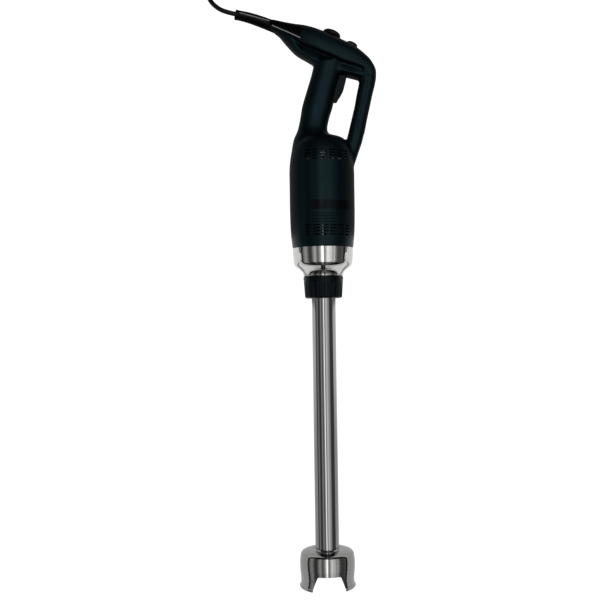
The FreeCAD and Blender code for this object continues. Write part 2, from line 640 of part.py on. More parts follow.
def cord_coil():
    x, y = COIL_CENTRE
    outer = Part.makeCylinder(COIL_OUTER, COIL_HEIGHT, Vector(x, y, 0))
    return outer.cut(Part.makeCylinder(COIL_INNER, COIL_HEIGHT, Vector(x, y, 0)))


def along_plug(shape):
    """Turns a piece drawn round Z so that it points along +X from the end of the lead."""
    placed = shape.copy()
    placed.rotate(Vector(), Vector(0, 1, 0), 90)
    placed.translate(Vector(*LEAD_ROUTE[-1]))
    return placed


def plug_body():
    """Round two-pin plug with earth-clip recesses and a tapered sleeve on its lead."""
    body = lathe([(0, 0), (4.6, 0), (6.0, 14.0), (6.8, 22.0), (10.5, 26.0, 1), (14.5, 27.5), (17.6, 31.0, 1),
                  (18.6, 36.0), (18.6, 55.0), (17.4, 56.2, 1), (16.2, 56.6), (0, 56.6)])
    recess = [Part.makeBox(5.0, 9.0, 16.0, Vector(side - 2.5, -4.5, 43.0)) for side in (-18.2, 18.2)]
    grooves = [ring(7.4, 5.4 + 0.07 * z, z, z + 1.4) for z in (5.0, 9.0, 13.0)]
    return along_plug(body.cut(recess + grooves))


def plug_pins():
    """Two round pins, each with a narrower neck where it leaves the plug."""
    tip = 56.6 + PIN_LENGTH
    pins = []
    for side in (-0.5, 0.5):
        pin = lathe([(0, 50.0), (2.1, 50.0), (2.1, 57.0), (PIN_RADIUS, 57.0), (PIN_RADIUS, tip - 1.6),
                     (PIN_RADIUS * 0.75, tip - 0.4, 1), (0.8, tip), (0, tip)])
        pin.translate(Vector(0, side * PIN_SPACING, 0))
        pins.append(along_plug(pin))
    return Part.makeCompound(pins)


# ---- assembly -----------------------------------------------------------------------------------
def tool_nodes():
    nodes = {}
    moulded_body(nodes)
    nodes["trigger_lever"] = trigger_lever()
    nodes["trigger_pin"] = trigger_pin()
    nodes["trigger_spring"] = trigger_spring()
    nodes["trigger_switch"] = switch_body()
    nodes["switch_plunger"] = switch_plunger()
    nodes["speed_dial"] = dial_knob()
    nodes["dial_shaft"] = dial_shaft()
    nodes["speed_potentiometer"] = potentiometer()
    nodes["speed_board"] = speed_board()
    nodes["lock_button"] = lock_button()
    nodes["lock_bracket"] = lock_bracket()
    nodes["lock_spring"] = lock_spring()
    nodes["motor_nose"] = nose()
    nodes["seal_ring"] = seal_ring()
    nodes["stator_core"] = stator_core()
    nodes["field_windings"] = field_coils()
    nodes["bearing_bracket"] = bearing_bracket()
    nodes["motor_bolts"] = motor_bolts()
    nodes["stator_pads"] = stator_pads()
    nodes["cord_clamp"] = cord_clamp()
    nodes["clamp_screws"] = clamp_screws()
    nodes["brush_holders"] = brush_holders()
    nodes["carbon_brushes"] = carbon_brushes()
    nodes["brush_springs"] = brush_springs()
    nodes["lower_bearing"] = ball_bearing(5.0 + RUNNING, 13.0, 491.5, 501.5)
    nodes["upper_bearing"] = ball_bearing(5.0 + RUNNING, 11.0, 657.0, 666.0)
    nodes["motor_shaft"] = motor_shaft()
    nodes["armature_core"] = armature_core()
    nodes["armature_windings"] = armature_windings()
    nodes["commutator"] = commutator()
    nodes["insulating_sleeves"] = insulating_sleeves()
    nodes["cooling_fan"] = cooling_fan()
    nodes["motor_coupling"] = motor_coupling()
    nodes["locking_collar"] = locking_collar()
    nodes["tube_flange"] = tube_flange()
    nodes["shaft_tube"] = shaft_tube()
    nodes["upper_bush"] = bush(438.0, 452.0)
    nodes["middle_bush"] = bush(319.5, 333.5)
    nodes["lower_bush"] = bush(54.0, 72.0)
    nodes["drive_shaft"] = drive_shaft()
    nodes["shaft_seal"] = shaft_seal()
    nodes["blade_guard"] = blade_guard()
    nodes["cutting_blade"] = cutting_blade()
    nodes["blade_nut"] = blade_nut()
    return nodes


def cord_nodes():
    return {"power_cord": cord_tube(CORD_ROUTE, "power_cord"), "cord_coil": cord_coil(),
            "plug_lead": cord_tube(LEAD_ROUTE, "plug_lead"), "plug_body": plug_body(),
            "plug_pins": plug_pins()}


os.makedirs("parts", exist_ok=True)
laid = {name: lay_down(shape) for name, shape in tool_nodes().items()}
box = FreeCAD.BoundBox()
for shape in laid.values():
    box.add(shape.optimalBoundingBox(False))
print("tool box, x", round(box.XMin, 2), round(box.XMax, 2), "y", round(box.YMin, 2), round(box.YMax, 2),
      "z", round(box.ZMin, 2), round(box.ZMax, 2), "lean", round(LEAN, 4), "lift", round(AXIS_LIFT, 3))
tip = Placement(Vector(ORIGIN_X, -ORIGIN_Y, AXIS_LIFT), Rotation(Vector(1, 0, 0), LEAN - 90)).multVec(
    Vector(BOOT_TIP[0], 0, BOOT_TIP[1]))
print("boot tip", [round(value, 2) for value in tip])
laid.update(cord_nodes())
for name, shape in laid.items():
    if not shape.isValid():
        print("not valid:", name)
    shape.exportStep(f"parts/{name}.step")
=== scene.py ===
"""A commercial immersion blender lying on a white table, seen from straight above.

Pieces are drawn in the tool frame, in millimetres: the drive axis is Z with the blade guard's lip at
z = 0, the D handle is on the +X side, and the front is the -Y side. TOOL turns them into the row frame.
"""
import json
import math

import bmesh
import bpy
from mathutils import Matrix, Vector
from mathutils.bvhtree import BVHTree


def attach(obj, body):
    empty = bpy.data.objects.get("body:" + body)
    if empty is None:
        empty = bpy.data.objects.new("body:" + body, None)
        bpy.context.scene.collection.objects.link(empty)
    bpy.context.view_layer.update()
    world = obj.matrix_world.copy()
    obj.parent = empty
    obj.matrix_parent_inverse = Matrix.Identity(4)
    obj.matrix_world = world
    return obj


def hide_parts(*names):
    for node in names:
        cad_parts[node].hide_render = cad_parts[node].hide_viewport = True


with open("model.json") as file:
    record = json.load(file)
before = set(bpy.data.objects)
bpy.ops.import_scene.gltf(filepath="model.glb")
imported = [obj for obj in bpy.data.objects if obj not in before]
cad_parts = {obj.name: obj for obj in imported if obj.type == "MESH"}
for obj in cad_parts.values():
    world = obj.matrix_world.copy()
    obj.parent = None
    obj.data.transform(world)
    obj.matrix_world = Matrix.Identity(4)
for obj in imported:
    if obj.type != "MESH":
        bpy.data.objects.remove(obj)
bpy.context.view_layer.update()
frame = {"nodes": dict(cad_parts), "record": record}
NODES = frame["nodes"]
RECORD = frame["record"]

# ---- driving dimensions, millimetres --------------------------------------------------------------
SPIN_HEIGHT = 580.0             # height at which the motor_spin joint is stated
BARREL_RADIUS = 49.5
HOUSING_FOOT, HOUSING_FOOT_RADIUS = 517.0, 46.3
WALL = 3.0
HEAD_SLOPE = 24.4               # fall of the top cover, degrees
DIAL = (17.5, 840.6, 14.0, 20.0)        # x, z, radius, lean in degrees
BUTTON = (48.6, 825.9, 8.6)
CORD_RADIUS = 3.5

# Head stations: outer point (x, z), inner point (x, z), half depth. The outer points and the boot lie
# up to 3 mm below the CAD solids' surface.
HEAD = [(-71.9, 865.2, -77.7, 850.9, 8.9), (-53.5, 860.2, -63.5, 841.0, 14.0),
        (-38.0, 856.8, -51.0, 826.5, 19.0), (-22.0, 854.2, -37.0, 812.0, 23.0),
        (-5.0, 849.0, -21.0, 802.5, 26.0), (15.0, 840.6, -2.0, 791.0, 27.0),
        (33.0, 832.2, 16.0, 784.0, 26.0), (50.0, 823.8, 34.0, 779.0, 23.5),
        (64.0, 813.8, 50.0, 774.5, 20.0), (76.0, 802.2, 66.0, 770.0, 16.5),
        (84.0, 788.5, 79.0, 770.0, 14.5)]
# Levels of the D bar and of the grip: right x, z, left x, z, half depth.
BAR = [(49, 640, 22, 640, 13), (55.8, 660, 31, 660, 13), (63.3, 682, 38.5, 682, 13),
       (70, 713, 46.5, 713, 13), (74.2, 731, 51, 731, 13), (78.3, 749, 54.5, 749, 13),
       (83.2, 768, 58.6, 768, 13), (84.8, 780, 60, 780, 13), (84.3, 789, 61.5, 789, 13)]
GRIP = [(40, 655, -46, 655, 41), (34, 664, -45.6, 664, 38), (26, 674, -44.2, 674, 33),
        (17, 684, -41.6, 684, 28), (9.5, 696, -36.2, 696, 22.5), (12, 713, -32, 713, 20.5),
        (18, 732, -28.6, 732, 20.5), (23.8, 757, -21, 757, 20), (31.5, 781, -13.4, 781, 20),
        (35, 801, -9, 801, 20)]
# Outline of the barrel: radius and height.
BARREL = [(0, 517), (46.3, 517), (47.4, 527), (48.3, 537), (48.9, 547), (49.3, 560), (49.5, 575),
          (49.5, 632), (49.0, 642), (48.0, 652), (46.2, 663), (43.5, 672), (40.2, 677), (36.0, 681.6),
          (31.0, 684.4), (18.0, 688.6), (0, 690.6)]
# Centre line of the cord boot: x, z, radius.
BOOT = [(-128, 874.2, 7.3), (-108.4, 869.4, 7.9), (-91.5, 863.7, 8.4), (-74.8, 857.2, 8.8),
        (-58, 850.8, 9.2), (-42, 845.0, 9.4)]
COVER_EDGE = [(-27.5, 824), (21, 802.7), (34.5, 796.5), (47.5, 794), (61, 789.5), (69.5, 783.5),
              (71.5, 775), (69.5, 760), (63.5, 737), (55, 703), (54, 693), (75, 688), (120, 688),
              (120, 900), (-27.5, 900)]
BOOT_ROOT_EDGE = [(-90, 863.5), (-27.5, 828.5), (-27.5, 900), (-90, 900)]
TRIGGER_WINDOW = [(9, 738.5), (30, 738.5), (41, 775), (40.5, 780.3), (34, 783), (9, 783)]
SCREW_PLACES = [(-33.0, 690.0), (-42.0, 828.0), (63.5, 779.0), (49.5, 688.0), (-16.0, 735.0)]

# Brightness of the studio by angle from straight up, towards +X, in degrees.
ROOM = [(-180, 0.0), (-97, 0.02), (-88, 0.06), (-80, 0.3), (-68, 0.5), (-60, 0.22), (-53, 0.06),
        (-44, 0.1), (-37, 0.4), (-31, 0.7), (-25, 0.35), (-20, 0.15), (-13, 0.5), (-7, 1.1), (-3, 3.2),
        (0, 3.2), (3, 0.6), (8, 0.4), (13, 1.1), (18, 1.6), (26, 1.2), (34, 1.0), (38, 0.5), (44, 0.95),
        (48, 0.4), (56, 0.12), (68, 0.09), (80, 0.16), (89, 0.05), (97, 0.02), (180, 0.0)]
ROOM_PEAK = 3.2
# Glow of the white paper as reflections see it, along the row's Y in metres: dimmed beside the plastic
# parts and the guard, full under the nose.
FLAGS = [(-0.6, 0.55), (-0.25, 0.55), (-0.12, 0.92), (-0.012, 0.92), (0.0, 0.2), (0.012, 0.2),
         (0.022, 0.95), (0.092, 0.95), (0.098, 0.08), (0.6, 0.08)]

# Cord route and coil on the table, in metres in the row frame.
CORD_ROUTE = [(-0.1056, 0.4342, 0.0535), (-0.1212, 0.4377, 0.0533), (-0.1348, 0.4460, 0.0506),
              (-0.1446, 0.4580, 0.0446), (-0.1499, 0.4715, 0.0355), (-0.1520, 0.4846, 0.0250),
              (-0.1526, 0.4980, 0.0150), (-0.1522, 0.5125, 0.0070), (-0.1518, 0.5310, 0.0035)]
LEAD_ROUTE = [(-0.0890, 0.5674, 0.0244), (-0.0674, 0.5545, 0.0240), (-0.0454, 0.5453, 0.0220),
              (-0.0224, 0.5413, 0.0198), (-0.0034, 0.5410, 0.0190)]
COIL_CENTRE = (-0.1100, 0.5310)
COIL_RADIUS = 0.0385
STRAP_WIDTH, STRAP_THICKNESS = 0.012, 0.0011
STACK_HALF_WIDTH, STACK_TOP = 0.0082, 0.0224        # cross-section of the coil's turns inside the strap


# ---- frame ----------------------------------------------------------------------------------------
def tool_matrix():
    """Tool frame in millimetres to row frame in metres, read from the motor's spin axis."""
    spin = next(j for j in RECORD["behaviour"]["joints"] if j["name"] == "motor_spin")
    up = Vector(spin["axis"]).normalized()
    across = Vector((1, 0, 0))
    back = up.cross(across)
    turn = Matrix((across, back, up)).transposed().to_4x4()
    origin = Vector(spin["pos_m"]) - up * SPIN_HEIGHT / 1000
    return Matrix.Translation(origin) @ turn @ Matrix.Scale(0.001, 4)


TOOL = tool_matrix()


def at(x, y, z):
    return TOOL @ Vector((x, y, z))


# ---- mesh helpers ---------------------------------------------------------------------------------
def add_object(name, data):
    obj = bpy.data.objects.new(name, data)
    bpy.context.scene.collection.objects.link(obj)
    return obj


def mesh_object(name, points, faces, place=None):
    """Object from points in the tool frame, or in a local frame that place turns into the tool frame."""
    mesh = bpy.data.meshes.new(name)
    place = TOOL @ place if place else TOOL
    mesh.from_pydata([place @ Vector(p) for p in points], [], faces)
    build = bmesh.new()
    build.from_mesh(mesh)
    bmesh.ops.recalc_face_normals(build, faces=build.faces)
    build.to_mesh(mesh)
    build.free()
    mesh.shade_smooth()
    return add_object(name, mesh)


def loft(name, rings, place=None):
    """Closed skin through rings of equal count, with a fan at each end."""
    count = len(rings[0])
    points = [p for ring in rings for p in ring]
    faces = []
    for level in range(len(rings) - 1):
        for k in range(count):
            a, b = level * count + k, level * count + (k + 1) % count
            faces.append((a, b, b + count, a + count))
    for start in (0, (len(rings) - 1) * count):
        middle = sum((Vector(points[start + k]) for k in range(count)), Vector()) / count
        points.append(middle)
        faces += [(start + k, start + (k + 1) % count, len(points) - 1) for k in range(count)]
    return mesh_object(name, points, faces, place)


def lathe(name, outline, segments=96, place=None):
    """Closed surface of revolution from (radius, height) points; a first and last radius of 0 close it."""
    rings = []
    for radius, height in outline:
        rings.append([(max(radius, 0.01) * math.cos(2 * math.pi * k / segments),
                       max(radius, 0.01) * math.sin(2 * math.pi * k / segments), height)
                      for k in range(segments)])
    return loft(name, rings, place)


def slab(name, outline, half_depth, place=None):
    """Outline of (x, z) points, extruded to half_depth each side."""
    count = len(outline)
    points = [(x, -half_depth, z) for x, z in outline] + [(x, half_depth, z) for x, z in outline]
    faces = [tuple(range(count)), tuple(range(count, 2 * count))]
    faces += [(k, (k + 1) % count, count + (k + 1) % count, count + k) for k in range(count)]
    return mesh_object(name, points, faces, place)


def smooth_stations(stations, per_span):
    """Catmull-Rom stations between the given ones."""
    padded = [stations[0]] + list(stations) + [stations[-1]]
    result = []
    for a, b, c, d in zip(padded, padded[1:], padded[2:], padded[3:]):
        for k in range(per_span):
            t = k / per_span
            result.append(tuple(
                0.5 * (2 * q + (r - p) * t + (2 * p - 5 * q + 4 * r - s) * t ** 2
                       + (3 * q - p - 3 * r + s) * t ** 3) for p, q, r, s in zip(a, b, c, d)))
    result.append(tuple(stations[-1]))
    return result


def oval_ring(station, inset, squareness, count=72):
    """Flattened oval between the outer and inner point of a station."""
    outer, inner, depth = Vector((station[0], 0, station[1])), Vector((station[2], 0, station[3])), station[4]
    across = (outer - inner).normalized()
    half, middle, ring = (outer - inner).length / 2 - inset, (outer + inner) / 2, []
    for k in range(count):
        angle = 2 * math.pi * k / count
        c, s = math.cos(angle), math.sin(angle)
        a = half * math.copysign(abs(c) ** (2 / squareness), c)
        b = (depth - inset) * math.copysign(abs(s) ** (2 / squareness), s)
        ring.append(middle + across * a + Vector((0, b, 0)))
    return ring


def apply_modifiers(obj):
    graph = bpy.context.evaluated_depsgraph_get()
    mesh = bpy.data.meshes.new_from_object(obj.evaluated_get(graph))
    obj.modifiers.clear()
    obj.data = mesh


def join(name, parts):
    """One mesh object from several, which are removed."""
    build = bmesh.new()
    for part in parts:
        build.from_mesh(part.data)
    mesh = bpy.data.meshes.new(name)
    build.to_mesh(mesh)
    build.free()
    discard(parts)
    mesh.shade_smooth()
    return add_object(name, mesh)


def discard(objects):
    for obj in objects:
        bpy.data.objects.remove(obj)


def boolean(obj, tool, operation="DIFFERENCE", keep_tool=False):
    step = obj.modifiers.new("boolean", "BOOLEAN")
    step.solver, step.operation, step.object = "MANIFOLD", operation, tool
    apply_modifiers(obj)
    if not keep_tool:
        discard([tool])


def remesh(obj, voxel):
    step = obj.modifiers.new("remesh", "REMESH")
    step.mode, step.voxel_size = "VOXEL", voxel / 1000
    apply_modifiers(obj)


def smooth(obj, rounds, group=None):
    step = obj.modifiers.new("smooth", "SMOOTH")
    step.factor, step.iterations = 0.5, rounds
    if group:
        step.vertex_group = group
    apply_modifiers(obj)


def sector(outer, inner, low, high, start, end, steps=5):
    """Block of a ring between two angles in degrees, measured from the front towards +X."""
    rings = []
    for k in range(steps + 1):
        a = math.radians(start + (end - start) * k / steps)
        s, c = math.sin(a), -math.cos(a)
        rings.append([(inner * s, inner * c, low), (outer * s, outer * c, low),
                      (outer * s, outer * c, high), (inner * s, inner * c, high)])
    return loft("sector", rings)


def leaning(x, z, lean):
    """Local frame at a point of the head, with its Z tilted towards +X."""
    return Matrix.Translation((x, 0, z)) @ Matrix.Rotation(math.radians(lean), 4, "Y")


# ---- materials ------------------------------------------------------------------------------------
def new_material(name, color, roughness, metallic=0.0):
    material = bpy.data.materials.new(name)
    material.use_nodes = True
    shader = material.node_tree.nodes["Principled BSDF"]
    shader.inputs["Base Color"].default_value = (*color, 1)
    shader.inputs["Roughness"].default_value = roughness
    shader.inputs["Metallic"].default_value = metallic
    return material, material.node_tree, shader


def noise(tree, scale, detail=2.0, stretch=(1, 1, 1)):
    """Noise in object space, in cycles per metre."""
    place = tree.nodes.new("ShaderNodeTexCoord")
    mapping = tree.nodes.new("ShaderNodeMapping")
    mapping.inputs["Scale"].default_value = stretch
    texture = tree.nodes.new("ShaderNodeTexNoise")
    texture.inputs["Scale"].default_value = scale
    texture.inputs["Detail"].default_value = detail
    tree.links.new(place.outputs["Object"], mapping.inputs["Vector"])
    tree.links.new(mapping.outputs["Vector"], texture.inputs["Vector"])
    return texture.outputs["Fac"]


def remap(tree, value, low, high):
    node = tree.nodes.new("ShaderNodeMapRange")
    node.inputs["From Min"].default_value, node.inputs["From Max"].default_value = 0.3, 0.7
    node.inputs["To Min"].default_value, node.inputs["To Max"].default_value = low, high
    tree.links.new(value, node.inputs["Value"])
    return node.outputs["Result"]


def mix_color(tree, factor, first, second):
    node = tree.nodes.new("ShaderNodeMix")
    node.data_type = "RGBA"
    node.inputs["A"].default_value = (*first, 1)
    node.inputs["B"].default_value = (*second, 1)
    tree.links.new(factor, node.inputs["Factor"])
    return node.outputs["Result"]


def bump(tree, shader, height, strength, distance):
    node = tree.nodes.new("ShaderNodeBump")
    node.inputs["Strength"].default_value = strength
    node.inputs["Distance"].default_value = distance
    tree.links.new(height, node.inputs["Height"])
    tree.links.new(node.outputs["Normal"], shader.inputs["Normal"])


def plastic(name, color, worn, roughness, grain=0.3, gloss=0.17, tint=(0.85, 1, 1)):
    """Moulded plastic with a fine spark-eroded grain and slow changes of tone and gloss."""
    material, tree, shader = new_material(name, color, roughness)
    shader.inputs["IOR"].default_value = 1.45
    shader.inputs["Specular IOR Level"].default_value = gloss
    shader.inputs["Specular Tint"].default_value = (*tint, 1)
    patches = noise(tree, 22, 3)
    tree.links.new(mix_color(tree, remap(tree, patches, 0, 1), color, worn), shader.inputs["Base Color"])
    tree.links.new(remap(tree, noise(tree, 60, 4), roughness - 0.04, roughness + 0.05),
                   shader.inputs["Roughness"])
    bump(tree, shader, noise(tree, 1800, 2), grain, 0.00008)
    return material


def steel(name, color, roughness, spread, stretch=(1, 1, 1), scale=900, depth=0.0):
    """Steel with polishing marks drawn out along one direction."""
    material, tree, shader = new_material(name, color, roughness, 1.0)
    marks = noise(tree, scale, 4, stretch)
    darker = tuple(c * 0.88 for c in color)
    tree.links.new(mix_color(tree, remap(tree, marks, 0, 1), color, darker), shader.inputs["Base Color"])
    tree.links.new(remap(tree, marks, roughness, roughness + spread), shader.inputs["Roughness"])
    if depth:
        bump(tree, shader, marks, 0.5, depth)
    return material


MATERIALS = {
    "moulded": plastic("moulded", (0.0004, 0.0018, 0.0036), (0.0006, 0.0026, 0.0048), 0.34,
                       gloss=0.24, tint=(0.45, 0.9, 1)),
    "cover": plastic("cover", (0.0014, 0.004, 0.0062), (0.0018, 0.0052, 0.008), 0.38,
                     gloss=0.22, tint=(0.5, 0.9, 1)),
    "controls": plastic("controls", (0.004, 0.006, 0.008), (0.005, 0.007, 0.009), 0.34, gloss=0.25),
    "trigger": plastic("trigger", (0.003, 0.005, 0.007), (0.004, 0.006, 0.009), 0.42, gloss=0.14),
    "boot_rubber": plastic("boot_rubber", (0.001, 0.001, 0.001), (0.002, 0.002, 0.002), 0.2, 0.05, 0.12,
                           (1, 1, 1)),
    "cord_jacket": plastic("cord_jacket", (0.002, 0.002, 0.002), (0.003, 0.003, 0.003), 0.3, 0.15, 0.4),
    "plug_plastic": plastic("plug_plastic", (0.008, 0.008, 0.008), (0.011, 0.011, 0.011), 0.45, 0.4),
    "label": plastic("label", (0.001, 0.0012, 0.0015), (0.0015, 0.002, 0.0025), 0.25, 0.05, 0.12,
                     (0.7, 0.85, 1)),
    "collar": plastic("collar", (0.001, 0.003, 0.005), (0.002, 0.005, 0.007), 0.3, 0.2, 0.12),
    "polished_nose": steel("polished_nose", (0.54, 0.54, 0.53), 0.04, 0.02, (1, 14, 14), 30),
    "tube_steel": steel("tube_steel", (0.31, 0.31, 0.31), 0.04, 0.02, (60, 1, 60), 12),
    "guard_steel": steel("guard_steel", (0.35, 0.35, 0.345), 0.04, 0.03, (1, 14, 1), 60),
    "blade_steel": steel("blade_steel", (0.55, 0.55, 0.56), 0.22, 0.12, (8, 1, 1), 500, 0.00002),
    "shaft_steel": steel("shaft_steel", (0.5, 0.5, 0.5), 0.2, 0.1, (1, 9, 1), 400, 0.00001),
    "fastener_steel": steel("fastener_steel", (0.42, 0.42, 0.4), 0.3, 0.15),
    "bearing_steel": steel("bearing_steel", (0.45, 0.45, 0.46), 0.15, 0.1),
    "lamination": steel("lamination", (0.18, 0.18, 0.18), 0.5, 0.2, (0.1, 30, 0.1), 60, 0.0001),
    "winding": steel("winding", (0.5, 0.2, 0.08), 0.3, 0.2, (0.2, 12, 0.2), 90, 0.0003),
    "copper": steel("copper", (0.65, 0.33, 0.17), 0.3, 0.15, (1, 12, 1), 300),
    "brass": steel("brass", (0.7, 0.52, 0.24), 0.28, 0.12),
    "carbon": plastic("carbon", (0.02, 0.02, 0.02), (0.03, 0.03, 0.03), 0.55),
    "bracket_cast": steel("bracket_cast", (0.2, 0.2, 0.2), 0.45, 0.2, (1, 1, 1), 500, 0.0001),
    "bush_plastic": plastic("bush_plastic", (0.6, 0.6, 0.56), (0.66, 0.66, 0.62), 0.5),
    "seal_rubber": plastic("seal_rubber", (0.012, 0.012, 0.012), (0.018, 0.018, 0.018), 0.6),
    "fan_plastic": plastic("fan_plastic", (0.05, 0.05, 0.05), (0.07, 0.07, 0.07), 0.5),
    "board": plastic("board", (0.02, 0.11, 0.045), (0.025, 0.13, 0.05), 0.4),
    "spring_steel": steel("spring_steel", (0.5, 0.5, 0.5), 0.25, 0.1),
    "pin_metal": steel("pin_metal", (0.72, 0.7, 0.66), 0.12, 0.08),
}


def painted_highlight_line(material, start, end, half_width, color):
    """Painted highlight: a pale streak on a piece, in place of a glint, along a line between two (x, z)
    points of the tool frame.
    """
    start, end = (at(p[0], 0, p[1]).xy for p in (start, end))
    tree = material.node_tree
    shader = tree.nodes["Principled BSDF"]
    before = shader.inputs["Base Color"].links[0].from_socket
    along = (end - start).normalized()
    across = Vector((-along.y, along.x))
    place = tree.nodes.new("ShaderNodeTexCoord")
    inside = None
    for axis, middle, reach in ((across, start.dot(across), half_width / 1000),
                                (along, (start + end).dot(along) / 2, (end - start).length / 2)):
        project = tree.nodes.new("ShaderNodeVectorMath")
        project.operation = "DOT_PRODUCT"
        project.inputs[1].default_value = (axis.x, axis.y, 0)
        tree.links.new(place.outputs["Object"], project.inputs[0])
        near = tree.nodes.new("ShaderNodeMath")
        near.operation = "COMPARE"
        near.inputs[1].default_value, near.inputs[2].default_value = middle, reach
        tree.links.new(project.outputs["Value"], near.inputs[0])
        if inside is None:
            inside = near.outputs["Value"]
        else:
            both = tree.nodes.new("ShaderNodeMath")
            both.operation = "MULTIPLY"
            tree.links.new(inside, both.inputs[0])
            tree.links.new(near.outputs["Value"], both.inputs[1])
            inside = both.outputs["Value"]
    blend = tree.nodes.new("ShaderNodeMix")
    blend.data_type = "RGBA"
    blend.inputs["B"].default_value = (*color, 1)
    tree.links.new(inside, blend.inputs["Factor"])
    tree.links.new(before, blend.inputs["A"])
    tree.links.new(blend.outputs["Result"], shader.inputs["Base Color"])


# Painted highlights on the boot: a pale line along the top of the sleeve and one along the root's lower edge,
# in place of glints.
painted_highlight_line(MATERIALS["boot_rubber"], (-121.0, 874.6), (-76.0, 861.4), 0.8, (0.3, 0.3, 0.31))
painted_highlight_line(MATERIALS["boot_rubber"], (-72.0, 853.6), (-29.0, 829.5), 0.8, (0.34, 0.34, 0.34))


def paint(obj, slot):
    obj.data.materials.clear()
    obj.data.materials.append(MATERIALS[slot])


def paint_nodes():
    """Each CAD node gets the material of its slot in the record."""
    for subpart in RECORD["subparts"]:
        paint(NODES[subpart["node"]], subpart["material_slot"])


def finish_piece(obj, body, slot, *nodes):
    paint(obj, slot)
    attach(obj, body)
    if nodes:
        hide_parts(*nodes)
    return obj


# ---- camera ---------------------------------------------------------------------------------------
def make_camera():
    data = bpy.data.cameras.new("camera")
    data.lens, data.sensor_width = 51.0, 36.0
    data.shift_x, data.shift_y = -0.033, 0.05
    camera = add_object("camera", data)
    camera.location = at(-6.6, 0, 392.5) + Vector((0, 0, 1.3))
    camera.rotation_euler = (0, 0, math.radians(-0.846))
    bpy.context.scene.camera = camera


# ---- cord -----------------------------------------------------------------------------------------
def coil_turns():
    """Neat coil of the spare length: two columns of turns, one inside the other, with the end on top."""
    points, per_turn, turns = [], 16, 6
    control = COIL_RADIUS / 0.981
    for k in range(per_turn * turns + 6):
        turn = k / per_turn
        layer = int(turn)
        column, level = layer % 2, layer // 2
        blend = min(1.0, (turn - layer) * 3)
        before = max(layer - 1, 0)
        lift = 0.0035 + 0.007 * ((before // 2) * (1 - blend) + level * blend)
        radius = control + 0.0037 - 0.0074 * ((before % 2) * (1 - blend) + column * blend)
        angle = math.pi - 2 * math.pi * turn
        points.append((COIL_CENTRE[0] + radius * math.cos(angle),
                       COIL_CENTRE[1] + radius * math.sin(angle), lift))
    return points


def nurbs(name, points, radius):
    data = bpy.data.curves.new(name, "CURVE")
    data.dimensions, data.bevel_depth, data.bevel_resolution = "3D", radius, 5
    data.use_fill_caps, data.resolution_u = True, 6
    spline = data.splines.new("NURBS")
    spline.points.add(len(points) - 1)
    for point, place in zip(spline.points, points):
        point.co = (*place, 1)
    spline.order_u = 3
    spline.use_endpoint_u = True
    return add_object(name, data)


def make_cord():
    points = CORD_ROUTE[:-1] + coil_turns() + LEAD_ROUTE[1:]
    cord = nurbs("mains_cord", points, CORD_RADIUS / 1000)
    paint(cord, "cord_jacket")
    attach(cord, "motor_body")
    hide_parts("power_cord", "cord_coil", "plug_lead")


def make_tie():
    """Soft strap round the coil's turns, which holds them together."""
    x, y = COIL_CENTRE
    inner, outer, top = COIL_RADIUS - STACK_HALF_WIDTH, COIL_RADIUS + STACK_HALF_WIDTH, STACK_TOP
    corners = [(inner, 0.0008), (inner, top - 0.003), (inner + 0.003, top), (outer - 0.003, top),
               (outer, top - 0.003), (outer, 0.0008), (outer - 0.001, 0.0002), (inner + 0.001, 0.0002)]
    middle = Vector((COIL_RADIUS, top / 2))
    half, edge = STRAP_WIDTH / 2, 0.0008
    rings = []
    for side in (-half, -(half - edge), half - edge, half):
        grow = STRAP_THICKNESS if abs(side) < half - edge / 2 else STRAP_THICKNESS * 0.6
        for wide in ((0.0, grow) if side < 0 else (grow, 0.0)):
            ring = []
            for radius, z in corners:
                away = (Vector((radius, z)) - middle).normalized() * wide
                ring.append((x + radius + away.x, y + side, max(z + away.y, 0.0)))
            rings.append(ring)
    tie = loft("cord_tie", rings, TOOL.inverted())
    finish_piece(tie, "motor_body", "seal_rubber")


# ---- moulded housing ------------------------------------------------------------------------------
def recess(side, inset):
    """Step under the cover's edge: x, z of the edge, and the depth left there and at the recess's foot."""
    rings = []
    for x, z, at_edge, at_foot in ((-60, 845, 25, 27), (-27.5, 824, 13, 19.6), (34.5, 796.5, 13, 19.6),
                                   (66, 787, 12, 19)):
        rings.append([(x, side * (at_edge - inset), z + inset), (x, side * 60, z + inset),
                      (x, side * 60, z - 28 - inset), (x, side * (at_foot - inset), z - 28 - inset)])
    return loft("recess", rings)


def moulded_union(name, inset, voxel):
    """Barrel, grip, head and D bar as one skin, softened where they meet."""
    lofts = [loft("part", [oval_ring(s, inset, square) for s in smooth_stations(rows, 6)])
             for rows, square in ((GRIP, 2.3), (HEAD, 2.5), (BAR, 2.5))]
    for side in (-1, 1):
        boolean(lofts[1], recess(side, inset))
    outline = [(max(r - inset, 0), z + (inset if z == HOUSING_FOOT else -inset * 0.6)) for r, z in BARREL]
    if inset:
        outline[0], outline[1] = (0, HOUSING_FOOT - 5), (HOUSING_FOOT_RADIUS - inset, HOUSING_FOOT - 5)
    parts = [lathe("part", outline, 160)] + lofts
    trees = [BVHTree.FromPolygons([v.co for v in p.data.vertices], [f.vertices[:] for f in p.data.polygons])
             for p in parts]
    skin = join(name, parts)
    remesh(skin, voxel)
    if not inset:
        group = skin.vertex_groups.new(name="junction")
        reach = 0.009
        for vertex in skin.data.vertices:
            near = sorted(tree.find_nearest(vertex.co)[3] for tree in trees)[1]
            if near < reach:
                group.add([vertex.index], 1 - near / reach, "REPLACE")
        smooth(skin, 60, "junction")
    smooth(skin, 6)
    return skin


